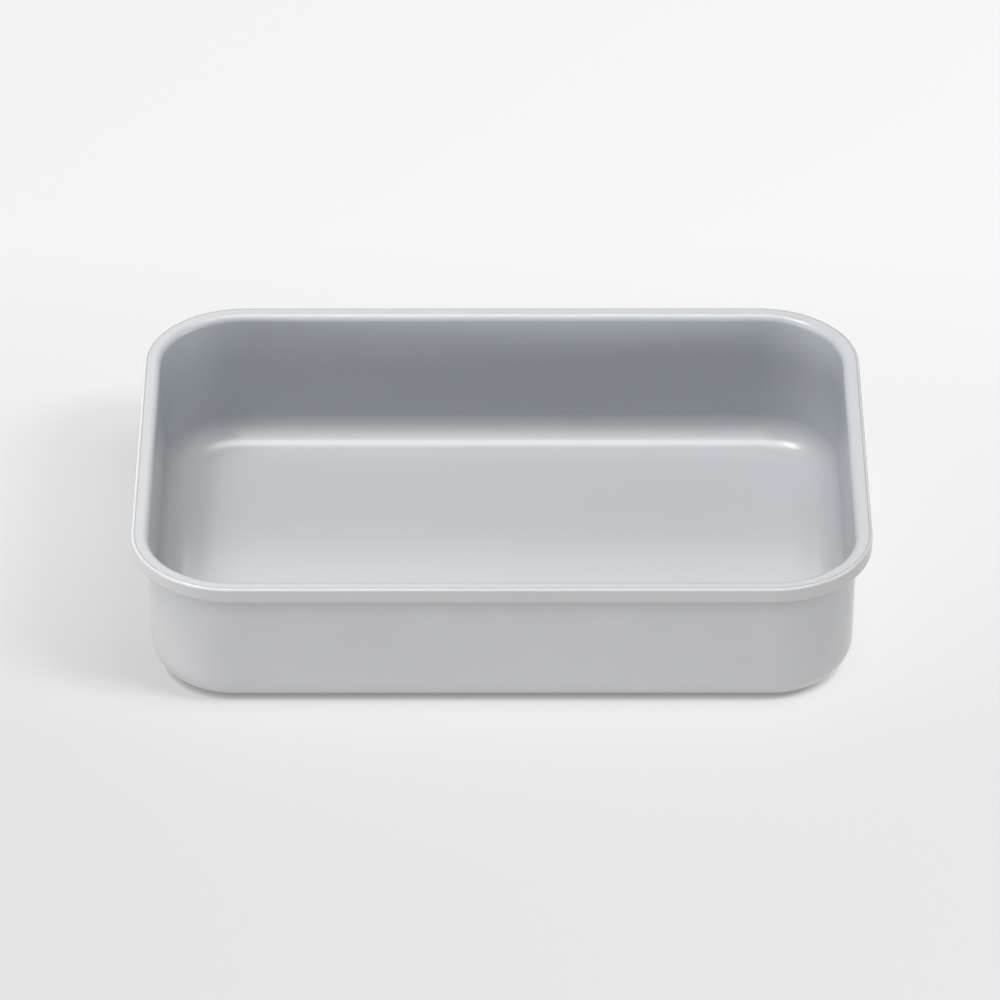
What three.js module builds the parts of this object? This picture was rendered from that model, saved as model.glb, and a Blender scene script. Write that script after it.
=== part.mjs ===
// Rectangular cake pan: one drawn steel sheet with a rolled rim, a wire inside the roll, and a
// ceramic release layer inside. Millimetres, +Z up. The origin is under the middle of the base,
// +X runs along the length.
//
// The sheet is drawn once as a section: straight runs and bends, from the floor's edge up the wall,
// over the rim and under it to the tucked lip. Every point of the section is then carried round the
// pan on a rounded rectangle, and all those rectangles share their four corner centres.

import * as THREE from 'three';

// Inside of the pan
const insideLength = 330.2; // between the end walls, at their top
const insideWidth = 228.6; // between the side walls, at their top
const cornerRadius = 40; // between two walls, at their top
const floorRadius = 14.7; // between the floor and the walls
const wallDraft = 0.8; // degrees that the walls lean out, so that pans nest and cakes drop out

// Steel sheet and its rolled rim
const panHeight = 71.5; // underside of the base to the top of the steel rim
const sheet = 0.8; // thickness of the steel
const rimBend = 3.4; // radius of the face that turns from the wall to the rim's flat top
const rimEdge = 1.7; // radius of the rim's outer top edge
const rollBend = 1.95; // radius of the two bends under the rim
const lipHeight = 2; // straight end of the sheet, tucked up inside the roll
const lipGap = 0.25; // between the lip and the wall

// Wire inside the roll
const wireDiameter = 5;
const wireSideFit = 0.15; // on each side of the wire
const wireHeightFit = 0.75; // above and below the wire

// Release layer
const coating = 0.05; // thickness of the ceramic
const coatingBond = 0.01; // between the ceramic and the steel

// Facets
const cornerSteps = 12; // around each corner of the pan
const floorSteps = 8; // around the floor radius
const rimBendSteps = 6;
const rimEdgeSteps = 6;
const rollSteps = 4; // around each bend under the rim
const wireSteps = 12; // around the wire

const draft = THREE.MathUtils.degToRad(wallDraft);
const quarterTurn = Math.PI / 2;

// A sheet seen in section, out from the wall's inside line and up from the base. It is followed along
// its release face, and the normal at each station points away from the steel.
class SheetSection {
  constructor(start, heading) {
    this.stations = [];
    this.point = start.clone();
    this.heading = heading;
    this.mark();
  }

  static normalOf(heading) {
    return new THREE.Vector2(-Math.sin(heading), Math.cos(heading));
  }

  mark() {
    const normal = SheetSection.normalOf(this.heading);
    this.stations.push({ point: this.point.clone(), normal });
    return this;
  }

  run(length) {
    const along = new THREE.Vector2(Math.cos(this.heading), Math.sin(this.heading));
    this.point.addScaledVector(along, length);
    return this.mark();
  }

  // A positive turn bends the sheet towards its release face, and the radius is that face's own.
  bend(radius, turn, steps) {
    const towardsCentre = radius * Math.sign(turn);
    const centre = this.point.clone().addScaledVector(SheetSection.normalOf(this.heading), towardsCentre);
    const startHeading = this.heading;
    for (let step = 1; step <= steps; step++) {
      this.heading = startHeading + (turn * step) / steps;
      this.point.copy(centre).addScaledVector(SheetSection.normalOf(this.heading), -towardsCentre);
      this.mark();
    }
    return this;
  }
}

// The points of a face that lies a given height above the release face, or below it if negative
function faceAt(stations, height) {
  return stations.map(({ point, normal }) => point.clone().addScaledVector(normal, height));
}

// A level rounded rectangle through one point of the section, counter-clockwise from above
function outlineThrough(sectionPoint) {
  const centreX = insideLength / 2 - cornerRadius;
  const centreY = insideWidth / 2 - cornerRadius;
  const radius = cornerRadius + sectionPoint.x;
  const outline = new THREE.Path();
  outline.absarc(centreX, centreY, radius, 0, quarterTurn);
  outline.absarc(-centreX, centreY, radius, quarterTurn, 2 * quarterTurn);
  outline.absarc(-centreX, -centreY, radius, 2 * quarterTurn, 3 * quarterTurn);
  outline.absarc(centreX, -centreY, radius, 3 * quarterTurn, 4 * quarterTurn);
  const arcDivisions = cornerSteps / 2; // a path cuts each arc into twice its divisions
  return outline.getPoints(arcDivisions).map(({ x, y }) => new THREE.Vector3(x, y, sectionPoint.y));
}

// The solid swept by a closed section round the pan. A section that starts and ends on a flat floor
// is closed there by two level faces, the first one facing up and the last one down.
function carryRound(section, { hasFloor }) {
  const outlines = section.map(outlineThrough);
  const perOutline = outlines[0].length;
  const indices = [];
  const bands = hasFloor ? outlines.length - 1 : outlines.length;
  for (let band = 0; band < bands; band++) {
    const here = band * perOutline;
    const next = ((band + 1) % outlines.length) * perOutline;
    for (let i = 0; i < perOutline; i++) {
      const j = (i + 1) % perOutline;
      indices.push(here + i, next + i, here + j);
      indices.push(here + j, next + i, next + j);
    }
  }
  if (hasFloor) {
    const last = bands * perOutline;
    for (const [a, b, c] of THREE.ShapeUtils.triangulateShape(outlines[0], [])) {
      indices.push(a, b, c);
      indices.push(last + a, last + c, last + b);
    }
  }
  const geometry = new THREE.BufferGeometry().setFromPoints(outlines.flat());
  geometry.setIndex(indices);
  geometry.computeVertexNormals();
  return geometry;
}

// Heights and lengths that follow from the driving dimensions
const wallRise = panHeight - sheet - (floorRadius + rimBend) * (1 - Math.sin(draft));
const wallLength = wallRise / Math.cos(draft);
const floorEdge = -floorRadius * Math.cos(draft) - wallLength * Math.sin(draft);

const lipFace = sheet / Math.cos(draft) + lipGap;
const wireCentreOut = lipFace + sheet + wireSideFit + wireDiameter / 2;
const rimOut = wireCentreOut + wireDiameter / 2 + wireSideFit + sheet;
const rimDepth = wireDiameter + 2 * wireHeightFit + 2 * sheet;
const wireCentreUp = panHeight - rimDepth / 2;

const rimFlat = rimOut - rimEdge - rimBend * Math.cos(draft);
const rimFace = rimDepth - rimEdge - rollBend;
const rollFlat = rimOut - lipFace - 2 * rollBend;

// The pan's inside face, from the floor's edge to the outer end of the rim's flat top
const lining = new SheetSection(new THREE.Vector2(floorEdge, sheet), 0)
  .bend(floorRadius, quarterTurn - draft, floorSteps)
  .run(wallLength)
  .bend(rimBend, draft - quarterTurn, rimBendSteps)
  .run(rimFlat);
const liningStations = [...lining.stations];

// The same sheet, followed on round the roll to its lip
const sheetStations = lining
  .bend(rimEdge, -quarterTurn, rimEdgeSteps)
  .run(rimFace)
  .bend(rollBend, -quarterTurn, rollSteps)
  .run(rollFlat)
  .bend(rollBend, -quarterTurn, rollSteps)
  .run(lipHeight).stations;

function panBody() {
  const section = [...faceAt(sheetStations, 0), ...faceAt(sheetStations, -sheet).reverse()];
  return carryRound(section, { hasFloor: true });
}

function interiorCoating() {
  const outerFace = faceAt(liningStations, coatingBond + coating);
  const bondedFace = faceAt(liningStations, coatingBond);
  return carryRound([...outerFace, ...bondedFace.reverse()], { hasFloor: true });
}

function rimWire() {
  const section = new THREE.EllipseCurve(
    wireCentreOut,
    wireCentreUp,
    wireDiameter / 2,
    wireDiameter / 2,
    0,
    2 * Math.PI,
    true,
  ).getPoints(wireSteps);
  section.pop(); // the last point repeats the first
  return carryRound(section, { hasFloor: false });
}

const greyEnamel = new THREE.MeshStandardMaterial({ color: 0xb3b3b4, roughness: 0.2, metalness: 0 });
const blueGreyCeramic = new THREE.MeshStandardMaterial({ color: 0xaab1b6, roughness: 0.25, metalness: 0 });
const bareSteel = new THREE.MeshStandardMaterial({ color: 0xa6a6a4, roughness: 0.35, metalness: 1 });

function piece(name, geometry, material) {
  const mesh = new THREE.Mesh(geometry, material);
  mesh.name = name;
  return mesh;
}

const cakePan = new THREE.Group();
cakePan.name = 'cake_pan';
cakePan.add(piece('pan_body', panBody(), greyEnamel));
cakePan.add(piece('interior_coating', interiorCoating(), blueGreyCeramic));
cakePan.add(piece('rim_wire', rimWire(), bareSteel));

export default cakePan;
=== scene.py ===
"""Rectangular cake pan with a rolled, wired rim and a ceramic-lined inside.

Written as a Blender add-on and run as a script. Metres, +Z up, +X along the pan's length, and the
origin under the middle of the base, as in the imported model.
"""

import math

import bpy
import numpy as np
from bpy.props import FloatProperty, FloatVectorProperty, PointerProperty
from bpy.types import Operator, Panel, PropertyGroup
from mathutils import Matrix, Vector


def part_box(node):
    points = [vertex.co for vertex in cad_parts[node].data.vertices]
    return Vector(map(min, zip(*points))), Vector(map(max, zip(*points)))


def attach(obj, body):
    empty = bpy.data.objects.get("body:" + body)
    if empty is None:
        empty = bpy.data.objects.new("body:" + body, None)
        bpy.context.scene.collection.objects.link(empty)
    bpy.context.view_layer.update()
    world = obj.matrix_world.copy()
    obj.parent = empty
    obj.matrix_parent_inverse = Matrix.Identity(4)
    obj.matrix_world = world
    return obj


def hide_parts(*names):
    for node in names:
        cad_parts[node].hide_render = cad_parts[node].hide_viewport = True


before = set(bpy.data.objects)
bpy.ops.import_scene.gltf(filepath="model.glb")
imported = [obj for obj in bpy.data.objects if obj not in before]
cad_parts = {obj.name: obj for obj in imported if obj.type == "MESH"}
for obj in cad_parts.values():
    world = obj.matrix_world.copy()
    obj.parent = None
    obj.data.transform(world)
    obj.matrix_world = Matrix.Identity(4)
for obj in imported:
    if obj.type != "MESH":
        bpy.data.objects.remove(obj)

bl_info = {
    "name": "Cake pan",
    "version": (1, 0, 0),
    "blender": (4, 5, 0),
    "location": "3D View > Sidebar > Cake pan",
    "description": "Builds a rectangular cake pan with a wired rim, its finishes and a small studio",
    "category": "Add Mesh",
}

STEEL_LOW, STEEL_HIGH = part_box("pan_body")
WIRE_LOW, WIRE_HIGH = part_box("rim_wire")

# Collections of the scene. A lamp lights the objects of one of them.
WHOLE_PAN = "cake_pan"
OUTSIDE = "outside"
INSIDE = "inside"
FLOOR = "floor"
STAGE = "stage"

# Rows and columns of the swept surfaces
BEND_STEP = math.radians(5)  # between two rows of a bend
RUN_ROWS = 8  # along a straight run of the section
FLOOR_ROWS = 12  # from the middle of the floor to its edge
CORNER_COLUMNS = 28  # round each corner of the pan
SIDE_COLUMNS = 24  # along each side between two corners
WIRE_ROWS = 24  # round the wire

# All finishes
NOISE_LOW, NOISE_HIGH = 0.3, 0.7  # most of a noise lies between these
GLOSS_SPREAD = 0.02  # of a coat's roughness, to either side of its middle

# Enamel
ENAMEL_IOR = 1.4
ENAMEL_DRIFT = 0.030  # size of the patches in which its tone drifts
ENAMEL_DRIFT_SHARE = 0.012  # of the tone, up and down
ENAMEL_GLOSS_PATCH = 0.012  # size of the patches of more and less gloss
PEEL_SIZE = 0.0016  # of the bumps of its orange peel
PEEL_DEPTH = 0.000006

# Fine dark line in the enamel along the lining's edge
PAST_LINING = "past_lining"  # name of the distance along the sheet past the lining's edge
LINE_PLACE = 0.0003  # that distance to the middle of the line
LINE_WIDTH = 0.0005  # from the middle of the line to where it has faded

# Ceramic
CERAMIC_IOR = 1.5
SPECK_SIZE = 0.0009
SPECK_SHARE = 0.010  # of the tone, up and down
CERAMIC_GLOSS_PATCH = 0.010  # size of the patches of more and less gloss
PIT_SIZE = 0.0011
PIT_DEPTH = 0.000005

# Wire
WIRE_PATCH = 0.004  # size of the lighter and darker patches
WIRE_PATCH_SHARE = 0.06  # of the tone, up and down
WIRE_GRAIN = 0.0015  # size of the patches of more and less gloss
WIRE_SMOOTH, WIRE_ROUGH = 0.28, 0.42  # range of its roughness

# Floor
FLOOR_REACH = 8.0  # from the pan to the floor's edge
FLOOR_DROP = 0.00005  # keeps the floor's face clear of the pan's underside
GLOW_FRONT = -0.14  # where the floor's own light is least, in front of the pan
GLOW_BACK = 0.3  # where it is most, behind the pan
CONTACT_SHADE = 0.3  # share of the floor's own light that is left where the pan touches it
CONTACT_REACH = 0.0035  # how far the pan's contact shadow reaches over the floor
CONTACT_SAMPLES = 8

# Lamps. Each has its glow in PanStudio, under its own name.
SOFTBOX_HEIGHT = 1.5  # of the overhead softbox
KEY_DROP = 0.01  # of the key below the overhead softbox
FLOOR_LAMP_HEIGHT = 4.0  # of the lamps that light the floor only
PANEL_DISTANCE = 3.0  # of the panels round the pan
WHITE = (1, 1, 1)
WARM_LAMPS = ("overhead", "key", "front_strip")

# Level softboxes: height, and their spans to the right and to the back as shares of that height
PAN_LAMPS = {
    "overhead": (SOFTBOX_HEIGHT, (-0.8, 0.5), (-0.21, 0.21)),
    "key": (SOFTBOX_HEIGHT - KEY_DROP, (-0.52, -0.38), (-0.06, 0.06)),
}
FLOOR_LAMPS = {
    "floor_high": (FLOOR_LAMP_HEIGHT, (0, 0.6), (-0.28, -0.05)),
    "floor_low": (FLOOR_LAMP_HEIGHT, (0.6, 1.25), (-0.55, -0.25)),
}

# Softboxes round the pan: azimuth and elevation where they stand, the width and the height that they
# have as seen from the pan, all in degrees, and what they light
PANELS = {
    "front_strip": (270, 63, 14, 42, INSIDE),
    "back_panel": (90, 38, 24, 20, WHOLE_PAN),
    "front_fill": (270, 4, 90, 8, WHOLE_PAN),
    "front_panel": (270, 52, 90, 24, OUTSIDE),
    "left_fill": (208, 2.5, 40, 5, WHOLE_PAN),
    "left_edge": (145, 6, 90, 12, OUTSIDE),
    "right_fill": (345, 6, 30, 12, WHOLE_PAN),
    "left_panel": (180, 40, 40, 20, WHOLE_PAN),
    "right_panel": (0, 42, 50, 24, WHOLE_PAN),
}


class PanSizes(PropertyGroup):
    """Sizes of the pan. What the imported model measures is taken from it."""

    rim_length: FloatProperty(
        name="Rim length",
        description="Over the rim, along the pan",
        default=STEEL_HIGH.x - STEEL_LOW.x,
        unit="LENGTH",
    )
    rim_width: FloatProperty(
        name="Rim width",
        description="Over the rim, across the pan",
        default=STEEL_HIGH.y - STEEL_LOW.y,
        unit="LENGTH",
    )
    height: FloatProperty(
        name="Height",
        description="Underside of the base to the top of the steel rim",
        default=STEEL_HIGH.z - STEEL_LOW.z,
        unit="LENGTH",
    )
    corner_radius: FloatProperty(
        name="Corner radius",
        description="Between two walls, at their top, on the inside",
        default=0.040,
        unit="LENGTH",
    )
    floor_radius: FloatProperty(
        name="Floor radius",
        description="Between the floor and the walls, on the inside",
        default=0.0147,
        unit="LENGTH",
    )
    wall_draft: FloatProperty(
        name="Wall draft",
        description="Angle that the walls lean out",
        default=math.radians(0.8),
        subtype="ANGLE",
    )
    sheet: FloatProperty(
        name="Sheet",
        description="Thickness of the steel",
        default=0.0008,
        unit="LENGTH",
    )
    rim_bend: FloatProperty(
        name="Rim bend",
        description="Radius that turns the wall into the rim's flat top",
        default=0.0034,
        unit="LENGTH",
    )
    rim_edge: FloatProperty(
        name="Rim edge",
        description="Radius of the rim's outer top edge",
        default=0.0012,
        unit="LENGTH",
    )
    roll_bend: FloatProperty(
        name="Roll bend",
        description="Radius of the two bends under the rim",
        default=0.00195,
        unit="LENGTH",
    )
    lip_height: FloatProperty(
        name="Lip height",
        description="Straight end of the sheet, tucked up inside the roll",
        default=0.002,
        unit="LENGTH",
    )
    lip_gap: FloatProperty(
        name="Lip gap",
        description="Between the tucked lip and the wall",
        default=0.00025,
        unit="LENGTH",
    )
    wire_diameter: FloatProperty(
        name="Wire diameter",
        description="Of the wire that the rim is rolled round",
        default=WIRE_HIGH.z - WIRE_LOW.z,
        unit="LENGTH",
    )
    wire_height: FloatProperty(
        name="Wire height",
        description="Of the wire's middle above the base",
        default=(WIRE_HIGH.z + WIRE_LOW.z) / 2,
        unit="LENGTH",
    )
    wire_side_fit: FloatProperty(
        name="Wire fit",
        description="Clearance on each side of the wire",
        default=0.00015,
        unit="LENGTH",
    )
    lining: FloatProperty(
        name="Lining",
        description="Thickness of the ceramic release layer",
        default=0.00005,
        unit="LENGTH",
    )
    lining_margin: FloatProperty(
        name="Lining margin",
        description="Flat of the rim between the lining's edge and the rim's outer edge",
        default=0.0005,
        unit="LENGTH",
    )
    lining_bond: FloatProperty(
        name="Lining bond",
        description="Between the ceramic and the steel",
        default=0.00001,
        unit="LENGTH",
    )


class PanFinishes(PropertyGroup):
    """Colours and gloss of the pan's three finishes."""

    enamel: FloatVectorProperty(
        name="Enamel",
        description="Light grey coat outside",
        default=(0.467, 0.471, 0.48),
        size=3,
        subtype="COLOR",
    )
    enamel_roughness: FloatProperty(
        name="Enamel roughness",
        description="Middle of the range over the outside",
        default=0.08,
        subtype="FACTOR",
    )
    line_depth: FloatProperty(
        name="Line depth",
        description="How much darker the fine line past the lining's edge is",
        default=0.45,
        subtype="FACTOR",
    )
    ceramic: FloatVectorProperty(
        name="Ceramic",
        description="Blue-grey release layer inside",
        default=(0.41, 0.44, 0.463),
        size=3,
        subtype="COLOR",
    )
    ceramic_roughness: FloatProperty(
        name="Ceramic roughness",
        description="Middle of the range over the inside",
        default=0.225,
        subtype="FACTOR",
    )
    wire: FloatVectorProperty(
        name="Wire",
        description="Bare drawn steel of the rim wire",
        default=(0.40, 0.40, 0.39),
        size=3,
        subtype="COLOR",
    )


class PanStudio(PropertyGroup):
    """Floor, lamps and camera. A lamp's glow is the brightness of its face, with white paper at 1."""

    floor: FloatProperty(
        name="Floor",
        description="Share of its light that the pale floor gives back to the pan",
        default=0.8,
        subtype="FACTOR",
    )
    floor_shade: FloatProperty(
        name="Floor shade",
        description="Share of the lamps' light, with its shadows, in the floor as it is seen",
        default=0.3,
        subtype="FACTOR",
    )
    floor_glow: FloatProperty(
        name="Floor glow",
        description="Brightness of the seen floor without the lamps' light, so that shadows stay pale",
        default=0.632,
    )
    floor_glow_rise: FloatProperty(
        name="Floor glow rise",
        description="How much that brightness grows to the back and fades to the front",
        default=0.0775,
    )
    backdrop: FloatProperty(
        name="Backdrop",
        description="Brightness behind the floor's far edge",
        default=0.92,
    )
    warmth: FloatVectorProperty(
        name="Warmth",
        description="Colour of the softboxes above the pan",
        default=(1.0, 0.96, 0.945),
        size=3,
        subtype="COLOR",
    )
    overhead_glow: FloatProperty(
        name="Overhead strip",
        description="Glow of the long softbox above the pan",
        default=6.6,
    )
    key_glow: FloatProperty(
        name="Key",
        description="Glow of the small lamp just below the overhead softbox, to the left",
        default=48.0,
    )
    front_strip_glow: FloatProperty(
        name="Front strip",
        description="Glow of the narrow softbox that comes down in front and lights the inside only",
        default=3.0,
    )
    back_panel_glow: FloatProperty(
        name="Back panel",
        description="Glow of the panel behind the pan that shows in the rim and the pan's floor",
        default=1.4,
    )
    front_fill_glow: FloatProperty(
        name="Front fill",
        description="Glow of the wide low panel in front",
        default=2.7,
    )
    front_panel_glow: FloatProperty(
        name="Front panel",
        description="Glow of the raised panel in front, which lights the outside only",
        default=2.0,
    )
    left_fill_glow: FloatProperty(
        name="Left fill",
        description="Glow of the low panel on the left, a little in front",
        default=24.0,
    )
    left_edge_glow: FloatProperty(
        name="Left edge",
        description="Glow of the wide low panel on the left and behind, which lights the outside only",
        default=2.6,
    )
    left_panel_glow: FloatProperty(
        name="Left panel",
        description="Glow of the raised panel on the left",
        default=1.0,
    )
    right_panel_glow: FloatProperty(
        name="Right panel",
        description="Glow of the raised panel on the right",
        default=0.25,
    )
    right_fill_glow: FloatProperty(
        name="Right fill",
        description="Glow of the low panel on the right",
        default=8.0,
    )
    floor_high_glow: FloatProperty(
        name="Floor lamp, high",
        description="Glow of the upper strip that lights the floor from the right",
        default=10.7,
    )
    floor_low_glow: FloatProperty(
        name="Floor lamp, low",
        description="Glow of the lower strip that lights the floor from the right",
        default=25.0,
    )
    camera_place: FloatVectorProperty(
        name="Camera place",
        description="Where the camera stands",
        default=(-0.0032, -2.8207, 1.9228),
        size=3,
        subtype="TRANSLATION",
    )
    camera_aim: FloatVectorProperty(
        name="Camera aim",
        description="Point in the middle of the picture",
        default=(-0.0009, -0.0145, 0.0494),
        size=3,
        subtype="TRANSLATION",
    )
    camera_lens: FloatProperty(
        name="Camera lens",
        description="Focal length in millimetres",
        default=255.43,
        unit="CAMERA",
    )


def lip_out(sizes):
    """How far out the tucked lip's face lies from the wall's inside line."""
    return sizes.sheet / math.cos(sizes.wall_draft) + sizes.lip_gap


def wire_out(sizes):
    """How far out the wire's middle lies from the wall's inside line."""
    return lip_out(sizes) + sizes.sheet + sizes.wire_side_fit + sizes.wire_diameter / 2


def rim_reach(sizes):
    """How far out the rim's outer face lies from the wall's inside line."""
    return wire_out(sizes) + sizes.wire_diameter / 2 + sizes.wire_side_fit + sizes.sheet


def follow_sheet(start, moves):
    """Points and headings along a sheet seen in section, out as real and up as imaginary part.

    The heading starts level. A run (length, 0) goes on along it, with rows gathered at both ends.
    A bend (radius, turn) swings about a centre one radius to the side while the heading turns evenly.
    """
    points = [np.array([start], dtype=complex)]
    headings = [np.array([0.0])]
    for reach, turn in moves:
        point = points[-1][-1]
        heading = headings[-1][-1]
        if turn:
            steps = math.ceil(abs(turn) / BEND_STEP)
            headings.append(heading + turn * np.linspace(0, 1, steps + 1)[1:])
            arm = 1j * math.copysign(reach, turn)
            centre = point + arm * np.exp(1j * heading)
            points.append(centre - arm * np.exp(1j * headings[-1]))
        else:
            share = 0.5 - 0.5 * np.cos(np.pi * np.linspace(0, 1, RUN_ROWS + 1)[1:])
            headings.append(np.full(RUN_ROWS, heading))
            points.append(point + reach * share * np.exp(1j * heading))
    return np.concatenate(points), np.concatenate(headings)


def face_at(points, headings, height):
    """The section moved square to itself: height above the inside face, or below it if negative."""
    return points + height * 1j * np.exp(1j * headings)


def sheet_moves(sizes):
    """Start of the sheet's section at the floor's edge, its moves up to the lining's edge, and those
    on round the roll to the tucked lip."""
    quarter = math.pi / 2
    lean = sizes.wall_draft
    bends = sizes.floor_radius + sizes.rim_bend
    wall = (sizes.height - sizes.sheet - bends * (1 - math.sin(lean))) / math.cos(lean)
    floor_edge = -sizes.floor_radius * math.cos(lean) - wall * math.sin(lean)
    rim_out = rim_reach(sizes)
    rim_flat = rim_out - sizes.rim_edge - sizes.rim_bend * math.cos(lean)
    rim_depth = 2 * (sizes.height - sizes.wire_height)
    lining_moves = [
        (sizes.floor_radius, quarter - lean),
        (wall, 0),
        (sizes.rim_bend, lean - quarter),
        (rim_flat - sizes.lining_margin, 0),
    ]
    roll_moves = [
        (sizes.lining_margin, 0),
        (sizes.rim_edge, -quarter),
        (rim_depth - sizes.rim_edge - sizes.roll_bend, 0),
        (sizes.roll_bend, -quarter),
        (rim_out - lip_out(sizes) - 2 * sizes.roll_bend, 0),
        (sizes.roll_bend, -quarter),
        (sizes.lip_height, 0),
    ]
    return complex(floor_edge, sizes.sheet), lining_moves, roll_moves


def columns_round_pan(sizes):
    """Columns round the pan, from above counter-clockwise, as complex numbers x + iy.

    Each column has a point on the rectangle of corner centres and a way out from it. At a corner the
    point stays and the way out turns a quarter. Along a side the point travels and the way out stays.
    """
    reach = rim_reach(sizes) + sizes.corner_radius
    corner = complex(sizes.rim_length / 2 - reach, sizes.rim_width / 2 - reach)
    corners = [corner, -corner.conjugate(), -corner, corner.conjugate()]
    turn = np.linspace(0, 1, CORNER_COLUMNS + 1)
    travel = 0.5 - 0.5 * np.cos(np.pi * np.linspace(0, 1, SIDE_COLUMNS + 1)[1:-1])
    points = []
    ways = []
    for quarter, here in enumerate(corners):
        following = corners[(quarter + 1) % 4]
        points += [np.full(len(turn), here), here + travel * (following - here)]
        ways += [1j ** (quarter + turn), np.full(len(travel), 1j ** (quarter + 1))]
    return np.concatenate(points), np.concatenate(ways)


def carried_round(section, sizes):
    """Grid of points: each section point goes round on its column's point plus (corner radius + out)
    times the column's way out, at its own height."""
    points, ways = columns_round_pan(sizes)
    plan = points + (sizes.corner_radius + section.real[:, None]) * ways
    up = np.broadcast_to(section.imag[:, None], plan.shape)
    return np.stack([plan.real, plan.imag, up], axis=-1)


def floor_rows(edge_row):
    """Rows from the middle of a level floor out to, but without, its edge row: the edge row times
    the sine of an even rise to a quarter turn, so that the rows gather at the edge."""
    share = np.sin(np.pi / 2 * np.linspace(0, 1, FLOOR_ROWS + 1)[:-1])
    return edge_row * np.stack([share, share, np.ones_like(share)], axis=-1)[:, None, :]


def pan_grid(upper_face, lower_face, sizes):
    """Grid over a sheet with a floor: from the middle of its upper side out along the upper face, and
    back along the lower face to the middle of its underside."""
    upper = carried_round(upper_face, sizes)
    lower = carried_round(lower_face, sizes)
    sheet = np.concatenate([upper, lower[::-1]])
    return np.concatenate([floor_rows(sheet[0]), sheet, floor_rows(sheet[-1])[::-1]])


def poled_mesh(name, grid):
    """Closed mesh over a grid that goes round in its columns. Its first and last row are poles, kept
    as one vertex each and joined to the next row by triangles."""
    rows, columns = grid.shape[:2]
    here = 1 + np.arange((rows - 2) * columns).reshape(rows - 2, columns)
    beside = np.roll(here, -1, axis=1)
    first = np.zeros(columns, dtype=int)
    last = np.full(columns, here[-1, -1] + 1)
    quads = np.stack([here[:-1], here[1:], beside[1:], beside[:-1]], axis=-1).reshape(-1, 4)
    cap = np.stack([first, here[0], beside[0]], axis=-1)
    foot = np.stack([here[-1], last, beside[-1]], axis=-1)
    vertices = np.concatenate([grid[0, :1], grid[1:-1].reshape(-1, 3), grid[-1, :1]])
    return smooth_mesh(name, vertices, [*quads.tolist(), *cap.tolist(), *foot.tolist()])


def ring_mesh(name, grid):
    """Closed mesh over a grid that goes round both in its rows and in its columns."""
    here = np.arange(grid.shape[0] * grid.shape[1]).reshape(grid.shape[:2])
    beside = np.roll(here, -1, axis=1)
    below = np.roll(here, -1, axis=0)
    across = np.roll(below, -1, axis=1)
    quads = np.stack([here, below, across, beside], axis=-1).reshape(-1, 4)
    return smooth_mesh(name, grid.reshape(-1, 3), quads.tolist())


def mark_past_lining(mesh, points, lining_rows):
    """Stores at each vertex how far the sheet has run past the lining's edge, along its inside face.

    The distance is the summed length of the section up to the row, less that up to the lining's last
    row. The outside face, which comes after the tucked lip, keeps the lip's distance.
    """
    run = np.concatenate([[0], np.cumsum(np.abs(np.diff(points)))])
    past = run - run[lining_rows - 1]
    rows = np.concatenate([np.full(FLOOR_ROWS, past[0]), past, np.full(len(past) + FLOOR_ROWS, past[-1])])
    columns = (len(mesh.vertices) - 2) // (len(rows) - 2)
    at_vertices = np.concatenate([rows[:1], np.repeat(rows[1:-1], columns), rows[-1:]])
    mesh.attributes.new(PAST_LINING, "FLOAT", "POINT").data.foreach_set("value", at_vertices)


def smooth_mesh(name, vertices, faces):
    """Mesh with smooth faces from an array of vertices and lists of their numbers."""
    mesh = bpy.data.meshes.new(name)
    mesh.from_pydata(vertices.tolist(), [], faces)
    mesh.polygons.foreach_set("use_smooth", np.ones(len(mesh.polygons), dtype=bool))
    mesh.update()
    return mesh


def scene_collection(name):
    """Collection of that name in the scene, made when it isn't there yet."""
    found = bpy.data.collections.get(name)
    if found is None:
        found = bpy.data.collections.new(name)
        bpy.context.scene.collection.children.link(found)
    return found


def add_piece(mesh, material, node):
    """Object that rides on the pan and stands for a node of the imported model."""
    mesh.materials.append(material)
    piece = bpy.data.objects.new(mesh.name, mesh)
    scene_collection(WHOLE_PAN).objects.link(piece)
    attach(piece, "root")
    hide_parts(node)
    return piece


def new_material(name):
    """New node material, with its tree, its shader and its object coordinates."""
    material = bpy.data.materials.new(name)
    material.use_nodes = True
    tree = material.node_tree
    shader = tree.nodes["Principled BSDF"]
    coordinates = tree.nodes.new("ShaderNodeTexCoord").outputs["Object"]
    return material, tree, shader, coordinates


def add_node(tree, kind, inputs=None, links=None, **settings):
    """Node with its settings, its socket values and its links from other nodes' outputs."""
    node = tree.nodes.new(kind)
    for name, value in settings.items():
        setattr(node, name, value)
    for name, value in (inputs or {}).items():
        node.inputs[name].default_value = value
    for name, output in (links or {}).items():
        tree.links.new(output, node.inputs[name])
    return node


def grain(tree, coordinates, size, detail=2.0):
    """Noise from 0 to 1 whose grains are about size across, in metres."""
    noise = add_node(
        tree,
        "ShaderNodeTexNoise",
        inputs={"Scale": 1 / size, "Detail": detail},
        links={"Vector": coordinates},
    )
    return noise.outputs["Fac"]


def spread(tree, noise, low, high):
    """Noise stretched over a range, so that most of it lies between low and high."""
    stretched = add_node(
        tree,
        "ShaderNodeMapRange",
        inputs={"From Min": NOISE_LOW, "From Max": NOISE_HIGH, "To Min": low, "To Max": high},
        links={"Value": noise},
    )
    return stretched.outputs["Result"]


def toned(tree, noise, colour, change):
    """Colour that a noise takes down and up by a small share."""
    value = spread(tree, noise, 1 - change, 1 + change)
    tone = add_node(
        tree,
        "ShaderNodeHueSaturation",
        inputs={"Color": (*colour, 1)},
        links={"Value": value},
    )
    return tone.outputs["Color"]


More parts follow.
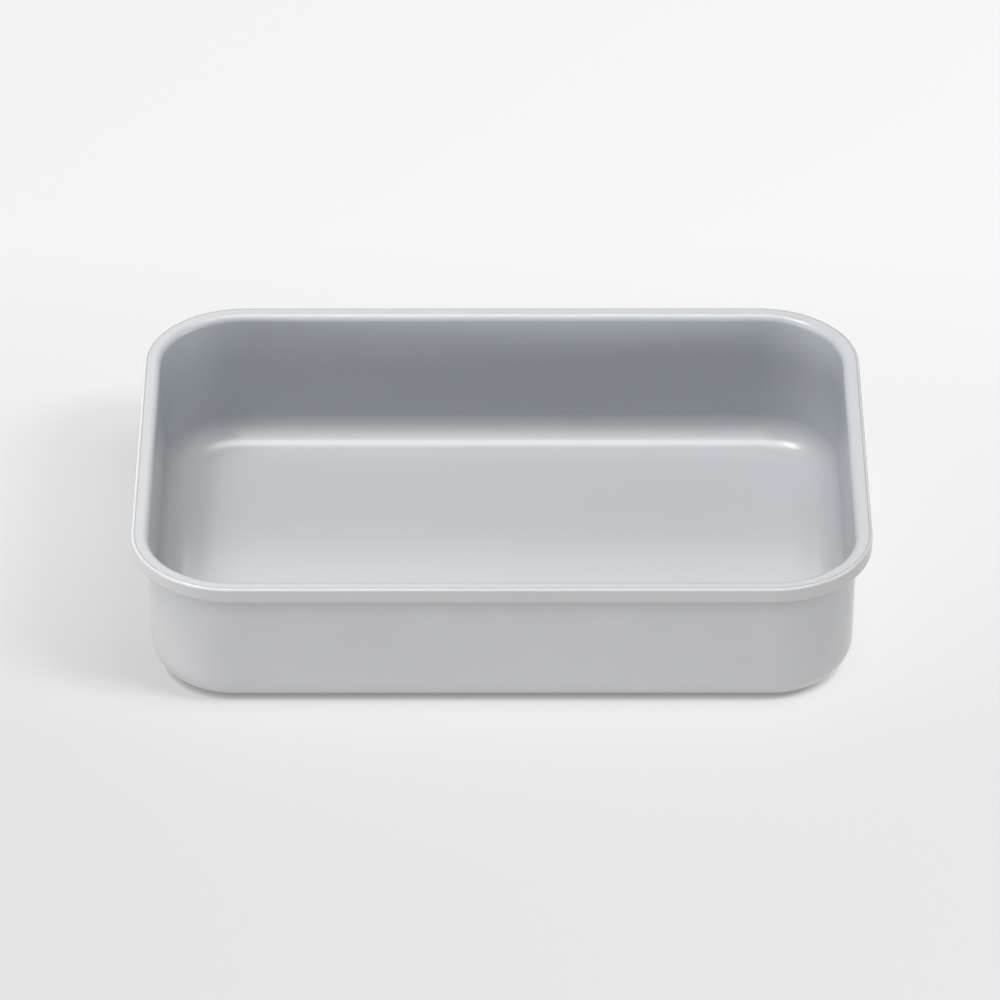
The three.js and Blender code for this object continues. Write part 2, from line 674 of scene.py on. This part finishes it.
def coat_gloss(tree, coordinates, size, middle):
    """Roughness of a coat, a little above and below its middle in patches of about size."""
    return spread(tree, grain(tree, coordinates, size), middle - GLOSS_SPREAD, middle + GLOSS_SPREAD)


def skin_bump(tree, noise, depth):
    """Normal of a coat whose skin rises and falls by about depth, in metres."""
    bump = add_node(
        tree,
        "ShaderNodeBump",
        inputs={"Strength": 1.0, "Distance": depth},
        links={"Height": noise},
    )
    return bump.outputs["Normal"]


def lining_line(tree, depth):
    """1 over the enamel, and less by depth in a fine line just past the lining's edge."""
    past = add_node(tree, "ShaderNodeAttribute", attribute_name=PAST_LINING)
    aside = add_node(
        tree,
        "ShaderNodeMath",
        operation="SUBTRACT",
        inputs={1: LINE_PLACE},
        links={0: past.outputs["Fac"]},
    )
    apart = add_node(tree, "ShaderNodeMath", operation="ABSOLUTE", links={0: aside.outputs[0]})
    line = add_node(
        tree,
        "ShaderNodeMapRange",
        interpolation_type="SMOOTHSTEP",
        inputs={"From Min": 0.0, "From Max": LINE_WIDTH, "To Min": 1 - depth, "To Max": 1.0},
        links={"Value": apart.outputs[0]},
    )
    return line.outputs["Result"]


def enamel_material(finishes):
    """Light grey enamel: faint orange peel, a tone that drifts a little and an uneven gloss. A fine
    darker line runs round the rim just past the lining."""
    material, tree, shader, coordinates = new_material("grey_enamel")
    links = tree.links
    shader.inputs["IOR"].default_value = ENAMEL_IOR
    tone = toned(tree, grain(tree, coordinates, ENAMEL_DRIFT), finishes.enamel, ENAMEL_DRIFT_SHARE)
    lined = add_node(
        tree,
        "ShaderNodeHueSaturation",
        links={"Color": tone, "Value": lining_line(tree, finishes.line_depth)},
    )
    links.new(lined.outputs["Color"], shader.inputs["Base Color"])
    gloss = coat_gloss(tree, coordinates, ENAMEL_GLOSS_PATCH, finishes.enamel_roughness)
    links.new(gloss, shader.inputs["Roughness"])
    peel = skin_bump(tree, grain(tree, coordinates, PEEL_SIZE, detail=1.0), PEEL_DEPTH)
    links.new(peel, shader.inputs["Normal"])
    return material


def ceramic_material(finishes):
    """Blue-grey ceramic: fine specks, an uneven gloss and a skin with fine pits."""
    material, tree, shader, coordinates = new_material("blue_grey_ceramic")
    links = tree.links
    shader.inputs["IOR"].default_value = CERAMIC_IOR
    specks = grain(tree, coordinates, SPECK_SIZE, detail=3.0)
    tone = toned(tree, specks, finishes.ceramic, SPECK_SHARE)
    links.new(tone, shader.inputs["Base Color"])
    gloss = coat_gloss(tree, coordinates, CERAMIC_GLOSS_PATCH, finishes.ceramic_roughness)
    links.new(gloss, shader.inputs["Roughness"])
    pits = skin_bump(tree, grain(tree, coordinates, PIT_SIZE), PIT_DEPTH)
    links.new(pits, shader.inputs["Normal"])
    return material


def wire_material(finishes):
    """Bare drawn steel, uneven in tone and gloss."""
    material, tree, shader, coordinates = new_material("drawn_steel")
    links = tree.links
    shader.inputs["Metallic"].default_value = 1.0
    tone = toned(tree, grain(tree, coordinates, WIRE_PATCH), finishes.wire, WIRE_PATCH_SHARE)
    links.new(tone, shader.inputs["Base Color"])
    gloss = spread(tree, grain(tree, coordinates, WIRE_GRAIN), WIRE_SMOOTH, WIRE_ROUGH)
    links.new(gloss, shader.inputs["Roughness"])
    return material


class PAN_OT_form_body(Operator):
    """Draw the steel sheet into floor, walls and rolled rim"""

    bl_idname = "cake_pan.form_body"
    bl_label = "Form the body"

    def execute(self, context):
        sizes = context.scene.cake_pan_sizes
        start, lining_moves, roll_moves = sheet_moves(sizes)
        points, headings = follow_sheet(start, lining_moves + roll_moves)
        inside = face_at(points, headings, 0)
        outside = face_at(points, headings, -sizes.sheet)
        mesh = poled_mesh("drawn_body", pan_grid(inside, outside, sizes))
        lining_points, _ = follow_sheet(start, lining_moves)
        mark_past_lining(mesh, points, len(lining_points))
        finish = enamel_material(context.scene.cake_pan_finishes)
        body = add_piece(mesh, finish, "pan_body")
        scene_collection(OUTSIDE).objects.link(body)
        return {"FINISHED"}


class PAN_OT_line_inside(Operator):
    """Lay the ceramic release layer over the floor, the walls and the top of the rim"""

    bl_idname = "cake_pan.line_inside"
    bl_label = "Line the inside"

    def execute(self, context):
        sizes = context.scene.cake_pan_sizes
        start, lining_moves, _ = sheet_moves(sizes)
        points, headings = follow_sheet(start, lining_moves)
        shown = face_at(points, headings, sizes.lining_bond + sizes.lining)
        bonded = face_at(points, headings, sizes.lining_bond)
        mesh = poled_mesh("release_lining", pan_grid(shown, bonded, sizes))
        finish = ceramic_material(context.scene.cake_pan_finishes)
        lining = add_piece(mesh, finish, "interior_coating")
        scene_collection(INSIDE).objects.link(lining)
        return {"FINISHED"}


class PAN_OT_lay_wire(Operator):
    """Lay the wire ring inside the rolled rim"""

    bl_idname = "cake_pan.lay_wire"
    bl_label = "Lay the rim wire"

    def execute(self, context):
        sizes = context.scene.cake_pan_sizes
        turn = np.linspace(0, 2 * math.pi, WIRE_ROWS, endpoint=False)
        middle = complex(wire_out(sizes), sizes.wire_height)
        section = middle + sizes.wire_diameter / 2 * np.exp(-1j * turn)
        mesh = ring_mesh("wire_ring", carried_round(section, sizes))
        finish = wire_material(context.scene.cake_pan_finishes)
        add_piece(mesh, finish, "rim_wire")
        return {"FINISHED"}


def add_softbox(name, place, width, length, lit, studio):
    """Area lamp that faces down until it is turned, and lights only the objects of one collection."""
    lamp = bpy.data.lights.new(name, "AREA")
    lamp.color = studio.warmth if name in WARM_LAMPS else WHITE
    lamp.shape = "RECTANGLE"
    lamp.size = width
    lamp.size_y = length
    lamp.energy = math.pi * width * length * getattr(studio, f"{name}_glow")
    softbox = bpy.data.objects.new(name, lamp)
    softbox.location = place
    softbox.light_linking.receiver_collection = scene_collection(lit)
    scene_collection(STAGE).objects.link(softbox)
    return softbox


def add_ceiling_lamp(name, height, across, along, lit, studio):
    """Level softbox at a height, between two shares of that height to the right and to the back."""
    middle = [height * sum(span) / 2 for span in (across, along)]
    width, length = [height * (span[1] - span[0]) for span in (across, along)]
    add_softbox(name, (*middle, height), width, length, lit, studio)


def add_panel(name, azimuth, elevation, width, height, lit, studio):
    """Softbox round the pan, in degrees: where it stands, how high, and how wide and high it looks."""
    turn = math.radians(azimuth)
    rise = math.radians(elevation)
    level = math.cos(rise)
    way = Vector((level * math.cos(turn), level * math.sin(turn), math.sin(rise)))
    sides = [2 * PANEL_DISTANCE * math.tan(math.radians(angle) / 2) for angle in (width, height)]
    panel = add_softbox(name, PANEL_DISTANCE * way, *sides, lit, studio)
    panel.rotation_euler = way.to_track_quat("Z", "Y").to_euler()


def seen_directly(tree):
    """1 for rays of the camera, of a gloss or through glass, which show the surroundings, else 0."""
    path = tree.nodes.new("ShaderNodeLightPath").outputs
    mirrored = add_node(
        tree,
        "ShaderNodeMath",
        operation="ADD",
        links={0: path["Is Glossy Ray"], 1: path["Is Transmission Ray"]},
    )
    seen = add_node(
        tree,
        "ShaderNodeMath",
        operation="ADD",
        use_clamp=True,
        links={0: path["Is Camera Ray"], 1: mirrored.outputs[0]},
    )
    return seen.outputs[0]


def floor_material(studio):
    """Pale matt floor. Where it is seen, it gives back less of the lamps' light and has a glow of its
    own instead, which rises from the front to the back and fades where the pan stands close over it."""
    material = bpy.data.materials.new("pale_floor")
    material.use_nodes = True
    material.cycles.emission_sampling = "NONE"
    tree = material.node_tree
    tree.nodes.remove(tree.nodes["Principled BSDF"])
    pale = (studio.floor, studio.floor, studio.floor, 1)
    plain = add_node(tree, "ShaderNodeBsdfDiffuse", inputs={"Color": pale})
    shaded = (studio.floor_shade, studio.floor_shade, studio.floor_shade, 1)
    matt = add_node(tree, "ShaderNodeBsdfDiffuse", inputs={"Color": shaded})
    place = add_node(tree, "ShaderNodeTexCoord")
    depth = add_node(tree, "ShaderNodeSeparateXYZ", links={"Vector": place.outputs["Object"]})
    rise = add_node(
        tree,
        "ShaderNodeMapRange",
        inputs={
            "From Min": GLOW_FRONT,
            "From Max": GLOW_BACK,
            "To Min": studio.floor_glow - studio.floor_glow_rise,
            "To Max": studio.floor_glow + studio.floor_glow_rise,
        },
        links={"Value": depth.outputs["Y"]},
    )
    open_above = add_node(
        tree,
        "ShaderNodeAmbientOcclusion",
        inputs={"Distance": CONTACT_REACH},
        samples=CONTACT_SAMPLES,
    )
    contact = add_node(
        tree,
        "ShaderNodeMapRange",
        inputs={"To Min": CONTACT_SHADE, "To Max": 1.0},
        links={"Value": open_above.outputs["AO"]},
    )
    strength = add_node(
        tree,
        "ShaderNodeMath",
        operation="MULTIPLY",
        links={0: rise.outputs["Result"], 1: contact.outputs["Result"]},
    )
    glow = add_node(tree, "ShaderNodeEmission", links={"Strength": strength.outputs[0]})
    shown = add_node(tree, "ShaderNodeAddShader", links={0: matt.outputs[0], 1: glow.outputs[0]})
    choice = add_node(
        tree,
        "ShaderNodeMixShader",
        links={0: seen_directly(tree), 1: plain.outputs[0], 2: shown.outputs[0]},
    )
    tree.links.new(choice.outputs[0], tree.nodes["Material Output"].inputs["Surface"])
    return material


class PAN_OT_set_stage(Operator):
    """Set the floor, the lamps, the backdrop and the camera"""

    bl_idname = "cake_pan.set_stage"
    bl_label = "Set the stage"

    def execute(self, context):
        scene = context.scene
        studio = scene.cake_pan_studio
        scene.view_settings.view_transform = "Standard"
        self.add_floor(studio)
        self.light_pan(studio)
        self.light_floor(studio)
        self.hang_backdrop(scene, studio)
        self.add_camera(scene, studio)
        return {"FINISHED"}

    def add_floor(self, studio):
        """A level square just below the pan's underside."""
        corner = np.array([[-1, -1], [1, -1], [1, 1], [-1, 1]]) * FLOOR_REACH
        level = np.column_stack([corner, np.full(4, -FLOOR_DROP)])
        mesh = bpy.data.meshes.new("floor")
        mesh.from_pydata(level.tolist(), [], [(0, 1, 2, 3)])
        mesh.materials.append(floor_material(studio))
        floor = bpy.data.objects.new("floor", mesh)
        scene_collection(FLOOR).objects.link(floor)

    def light_pan(self, studio):
        """The softboxes above the pan and those round it."""
        for name, placing in PAN_LAMPS.items():
            add_ceiling_lamp(name, *placing, WHOLE_PAN, studio)
        for name, placing in PANELS.items():
            add_panel(name, *placing, studio)

    def light_floor(self, studio):
        """The softboxes that light the floor only, so that the pan's shadow falls to the left."""
        for name, placing in FLOOR_LAMPS.items():
            add_ceiling_lamp(name, *placing, FLOOR, studio)

    def hang_backdrop(self, scene, studio):
        """A world that is pale where it is seen and gives no light otherwise."""
        world = bpy.data.worlds.new("backdrop")
        world.use_nodes = True
        tree = world.node_tree
        tree.nodes["Background"].inputs["Color"].default_value = (0, 0, 0, 1)
        pale = (studio.backdrop, studio.backdrop, studio.backdrop, 1)
        shown = add_node(tree, "ShaderNodeBackground", inputs={"Color": pale, "Strength": 1.0})
        choice = add_node(tree, "ShaderNodeMixShader", links={0: seen_directly(tree)})
        tree.links.new(tree.nodes["Background"].outputs[0], choice.inputs[1])
        tree.links.new(shown.outputs[0], choice.inputs[2])
        tree.links.new(choice.outputs[0], tree.nodes["World Output"].inputs["Surface"])
        scene.world = world

    def add_camera(self, scene, studio):
        """The camera at its place, turned to its aim."""
        data = bpy.data.cameras.new("camera")
        data.lens = studio.camera_lens
        camera = bpy.data.objects.new("camera", data)
        camera.location = studio.camera_place
        towards = Vector(studio.camera_aim) - Vector(studio.camera_place)
        camera.rotation_euler = towards.to_track_quat("-Z", "Y").to_euler()
        scene_collection(STAGE).objects.link(camera)
        scene.camera = camera


class PAN_PT_cake_pan(Panel):
    """Steps that build the pan, in order"""

    bl_idname = "PAN_PT_cake_pan"
    bl_label = "Cake pan"
    bl_space_type = "VIEW_3D"
    bl_region_type = "UI"
    bl_category = "Cake pan"

    def draw(self, context):
        for step in STEPS:
            self.layout.operator(step.bl_idname)


STEPS = (PAN_OT_form_body, PAN_OT_line_inside, PAN_OT_lay_wire, PAN_OT_set_stage)
CLASSES = (PanSizes, PanFinishes, PanStudio, *STEPS, PAN_PT_cake_pan)


def register():
    """Makes the classes known to Blender and gives every scene their values."""
    for kind in CLASSES:
        bpy.utils.register_class(kind)
    bpy.types.Scene.cake_pan_sizes = PointerProperty(type=PanSizes)
    bpy.types.Scene.cake_pan_finishes = PointerProperty(type=PanFinishes)
    bpy.types.Scene.cake_pan_studio = PointerProperty(type=PanStudio)


def unregister():
    """Takes back what register has done."""
    del bpy.types.Scene.cake_pan_studio
    del bpy.types.Scene.cake_pan_finishes
    del bpy.types.Scene.cake_pan_sizes
    for kind in reversed(CLASSES):
        bpy.utils.unregister_class(kind)


def main():
    """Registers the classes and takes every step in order."""
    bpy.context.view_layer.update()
    register()
    bpy.ops.cake_pan.form_body()
    bpy.ops.cake_pan.line_inside()
    bpy.ops.cake_pan.lay_wire()
    bpy.ops.cake_pan.set_stage()


if __name__ == "__main__":
    main()
